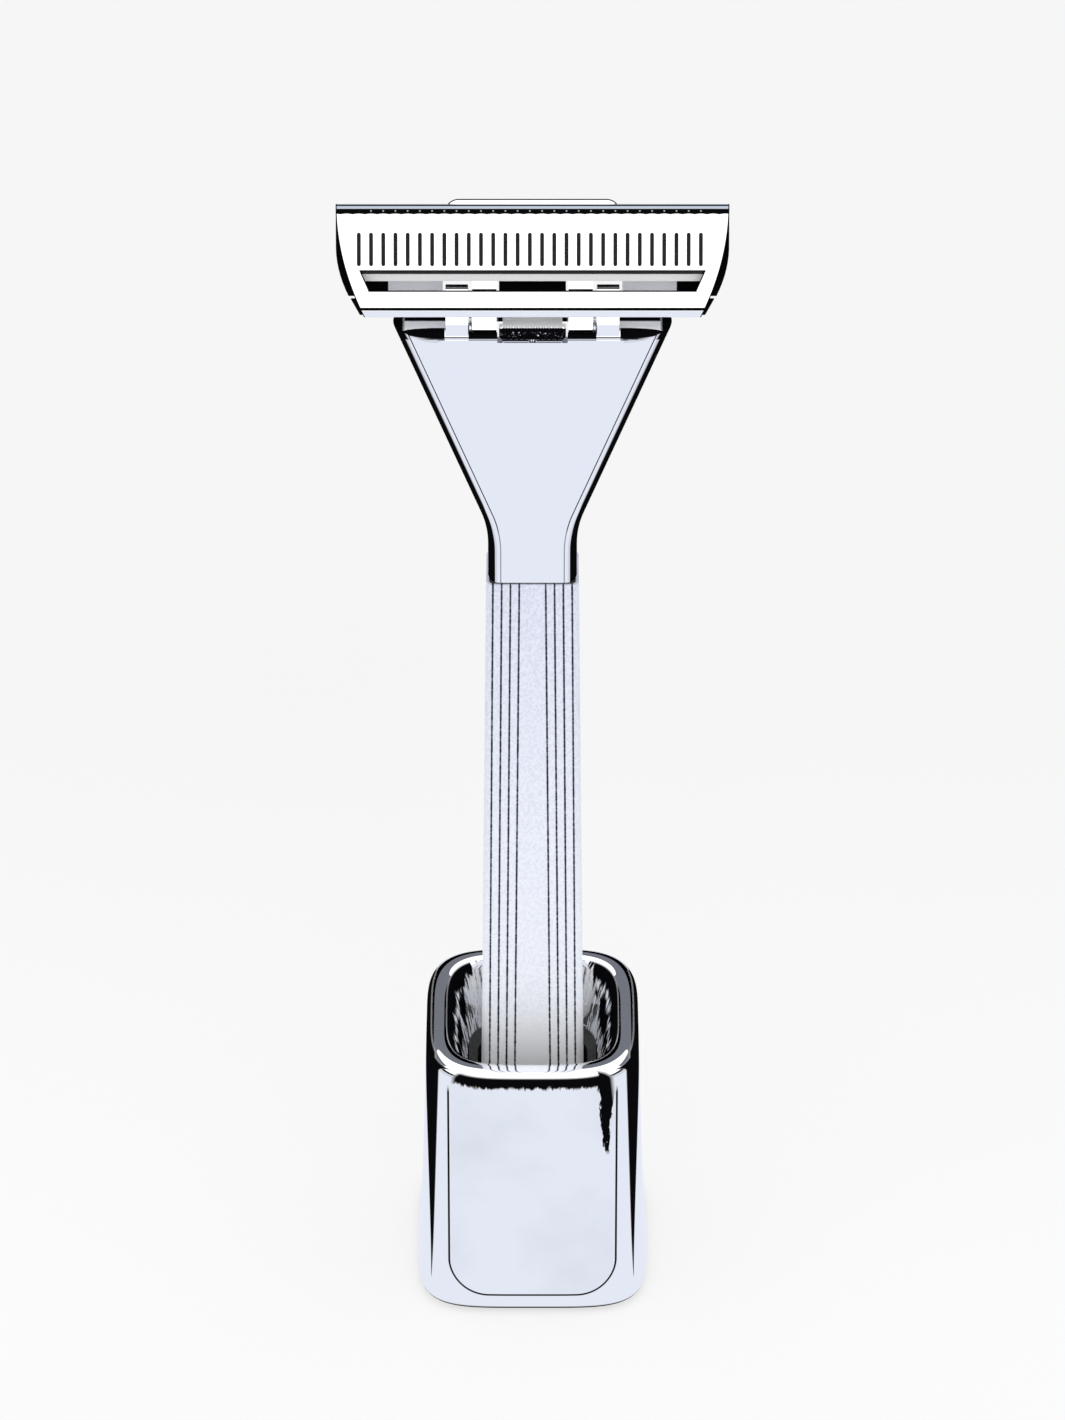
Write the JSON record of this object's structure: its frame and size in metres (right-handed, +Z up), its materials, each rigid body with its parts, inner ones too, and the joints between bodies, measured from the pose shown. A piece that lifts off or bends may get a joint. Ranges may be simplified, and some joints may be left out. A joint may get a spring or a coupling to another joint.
{
  "type": "razor in stand",
  "caption": "Chrome wet razor with a comb head that opens on a hinge, flared paddle neck and grooved grip, standing in a square dished stand",
  "frame": {"origin": "centre of the stand's underside, on the table", "axes": "+Z up along the razor, -Y towards the viewer and the comb face, X along the blade"},
  "size_m": [0.0446, 0.0282, 0.1488],
  "materials": {
    "chrome_mirror": "mirror plating",
    "chrome_grained": "fine cast grain, plated",
    "plain_steel": "machined",
    "blade_steel": "ground edge",
    "cast_weight": "as cast",
    "rubber_black": "matte"
  },
  "bodies": {
    "stand": {"stand_body": "chrome_mirror", "socket_liner": "rubber_black", "magnet": "plain_steel", "ballast": "cast_weight", "base_plate": "plain_steel", "base_screw": "plain_steel", "foot_pad": "rubber_black"},
    "razor": {"handle_frame": "chrome_mirror", "neck_washer": "rubber_black", "grip_sleeve": "chrome_grained", "end_cap": "chrome_mirror", "end_cap_screw": "plain_steel", "comb_plate": "chrome_mirror", "plate_screws": "plain_steel", "blade_pegs": "plain_steel", "blade": "blade_steel", "hinge_pins": "plain_steel", "hinge_washers": "plain_steel", "catch_spring": "plain_steel", "pocket_cover": "chrome_mirror", "cover_screws": "plain_steel"},
    "door": {"blade_door": "chrome_mirror"},
    "catch": {"catch": "chrome_mirror", "catch_clip": "plain_steel"}
  },
  "joints": [
    {"name": "razor_lift", "type": "slide", "parent": "stand", "child": "razor", "axis": [0, 0, 1], "range_m": [0, 0.03]},
    {"name": "door_open", "type": "hinge", "parent": "razor", "child": "door", "pos_m": [0, 0.0005, 0.13465], "axis": [-1, 0, 0], "range_deg": [0, 70]},
    {"name": "catch_lift", "type": "slide", "parent": "razor", "child": "catch", "axis": [0, 0, 1], "range_m": [0, 0.0008], "stiffness_N_per_m": 400, "springref_m": -0.0004, "deforming": ["catch_spring"]}
  ]
}
